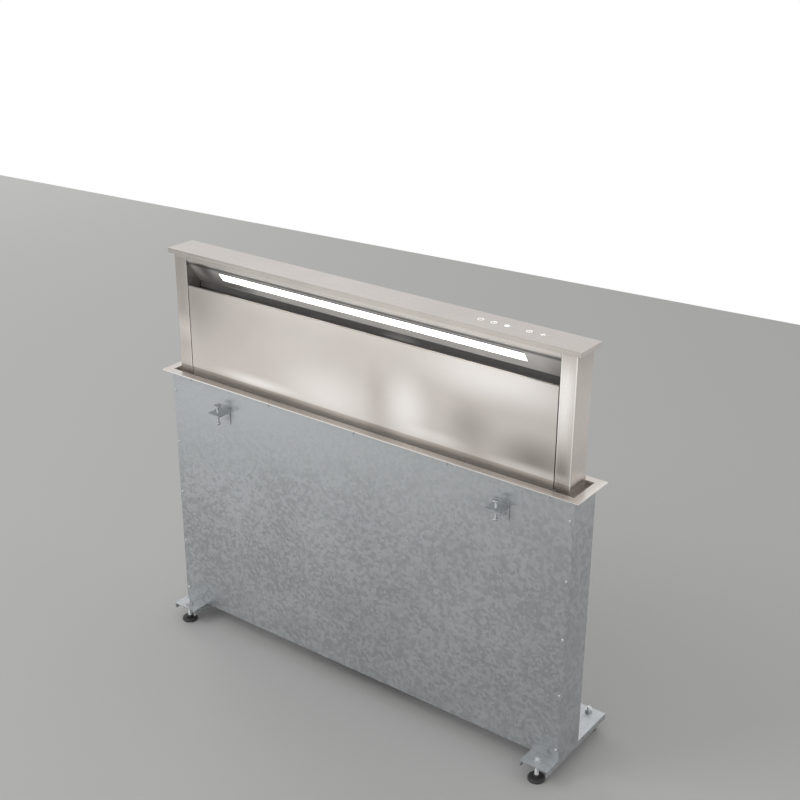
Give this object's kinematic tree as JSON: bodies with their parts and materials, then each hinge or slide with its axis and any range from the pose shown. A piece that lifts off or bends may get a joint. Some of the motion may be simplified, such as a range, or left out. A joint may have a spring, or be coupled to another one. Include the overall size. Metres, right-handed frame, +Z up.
{
  "type": "downdraft extractor",
  "caption": "Worktop downdraft vent: a steel column with slot intake, light strip and grease filters that rises from a flanged housing with lift drive, blower and duct outlet.",
  "frame": {"origin": "centre of the worktop cut-out, on the worktop surface, which is the underside of the flange's gasket", "axes": "+X to the right along the width seen from the hob, +Y away from the hob, +Z up"},
  "size_m": [1.18, 0.3233, 1.0112],
  "materials": {
    "brushed_steel": "long-grain brushed",
    "polished_steel": "bright polished",
    "galvanised_steel": "galvanised, faint spangle",
    "bright_steel": "zinc-plated",
    "dark_steel": "satin black",
    "black_coating": "satin black",
    "cast_alloy": "cast",
    "motor_black": "semi-gloss black",
    "black_plastic": "matt moulded",
    "white_plastic": "matt moulded",
    "opal_plastic": "opal, lit from behind",
    "circuit_board": "solder mask",
    "touch_print": "lit symbols",
    "seal_rubber": "matt",
    "brass": "machined"
  },
  "bodies": {
    "housing": {"worktop_flange": "brushed_steel", "flange_gasket": "seal_rubber", "housing_front": "galvanised_steel", "housing_rear": "galvanised_steel", "housing_left_end": "galvanised_steel", "housing_right_end": "galvanised_steel", "housing_base": "galvanised_steel", "guide_frame": "dark_steel", "column_seal": "seal_rubber", "guide_rail_left": "galvanised_steel", "guide_rail_right": "galvanised_steel", "screw_gearboxes": "cast_alloy", "lift_gear_unit": "cast_alloy", "lift_motor": "motor_black", "limit_sensors": "black_plastic", "worktop_clamps": "galvanised_steel", "clamp_screws": "bright_steel", "floor_brackets": "galvanised_steel", "levelling_feet": "black_plastic", "foot_nuts": "bright_steel", "blower_box": "galvanised_steel", "blower_cover": "galvanised_steel", "scroll": "dark_steel", "inlet_ring": "dark_steel", "blower_motor": "cast_alloy", "outlet_spigot": "galvanised_steel", "damper_pin": "bright_steel", "control_box": "galvanised_steel", "control_cover": "galvanised_steel", "power_board": "circuit_board", "mains_gland": "black_plastic", "housing_screws": "bright_steel"},
    "column": {"left_post": "brushed_steel", "right_post": "brushed_steel", "rear_panel": "brushed_steel", "header_rail": "brushed_steel", "cap": "brushed_steel", "light_baffle": "polished_steel", "light_diffuser": "opal_plastic", "led_board": "circuit_board", "touch_symbols": "touch_print", "touch_board": "circuit_board", "column_sill": "brushed_steel", "filter_top_channel": "black_coating", "filter_bottom_channel": "black_coating", "screw_nuts": "brass", "slide_shoes": "white_plastic", "panel_catches": "black_plastic", "pivot_pins": "bright_steel", "column_screws": "bright_steel"},
    "panel": {"front_panel": "brushed_steel"},
    "filter_left": {"grease_filter_left": "black_coating"},
    "filter_centre": {"grease_filter_centre": "black_coating"},
    "filter_right": {"grease_filter_right": "black_coating"},
    "screw_left": {"lead_screw_left": "bright_steel"},
    "screw_right": {"lead_screw_right": "bright_steel"},
    "shaft": {"sync_shaft": "bright_steel"},
    "fan": {"impeller": "black_plastic"},
    "flap_front": {"damper_flap_front": "white_plastic"},
    "flap_rear": {"damper_flap_rear": "white_plastic"}
  },
  "joints": [
    {"name": "lift", "type": "slide", "parent": "housing", "child": "column", "axis": [0, 0, 1], "range_m": [-0.312, 0]},
    {"name": "panel_tilt", "type": "hinge", "parent": "column", "child": "panel", "pos_m": [0, -0.027, -0.003], "axis": [1, 0, 0], "range_deg": [0, 30]},
    {"name": "filter_left_lift", "type": "slide", "parent": "column", "child": "filter_left", "axis": [0, 0.1446, 0.9895], "range_m": [0, 0.012]},
    {"name": "filter_centre_lift", "type": "slide", "parent": "column", "child": "filter_centre", "axis": [0, 0.1446, 0.9895], "range_m": [0, 0.012]},
    {"name": "filter_right_lift", "type": "slide", "parent": "column", "child": "filter_right", "axis": [0, 0.1446, 0.9895], "range_m": [0, 0.012]},
    {"name": "impeller_spin", "type": "hinge", "parent": "housing", "child": "fan", "pos_m": [0, 0.13, -0.51], "axis": [0, 1, 0], "continuous": true},
    {"name": "flap_front_swing", "type": "hinge", "parent": "housing", "child": "flap_front", "pos_m": [0.184, 0.1301, -0.42], "axis": [0, 0, 1], "range_deg": [0, 80], "stiffness_Nm_per_rad": 0.02},
    {"name": "flap_rear_swing", "type": "hinge", "parent": "housing", "child": "flap_rear", "pos_m": [0.184, 0.1301, -0.42], "axis": [0, 0, -1], "range_deg": [0, 80], "stiffness_Nm_per_rad": 0.02},
    {"name": "screw_left_turn", "type": "hinge", "parent": "housing", "child": "screw_left", "pos_m": [-0.534, 0, -0.3], "axis": [0, 0, 1], "continuous": true},
    {"name": "screw_right_turn", "type": "hinge", "parent": "housing", "child": "screw_right", "pos_m": [0.534, 0, -0.3], "axis": [0, 0, 1], "continuous": true},
    {"name": "shaft_turn", "type": "hinge", "parent": "housing", "child": "shaft", "pos_m": [0, 0, -0.6288], "axis": [1, 0, 0], "continuous": true}
  ],
  "couplings": [
    {"joint": "screw_left_turn", "follows": "lift", "rad_per_m": 251.33},
    {"joint": "screw_right_turn", "follows": "lift", "rad_per_m": 251.33},
    {"joint": "shaft_turn", "follows": "lift", "rad_per_m": 251.33}
  ]
}
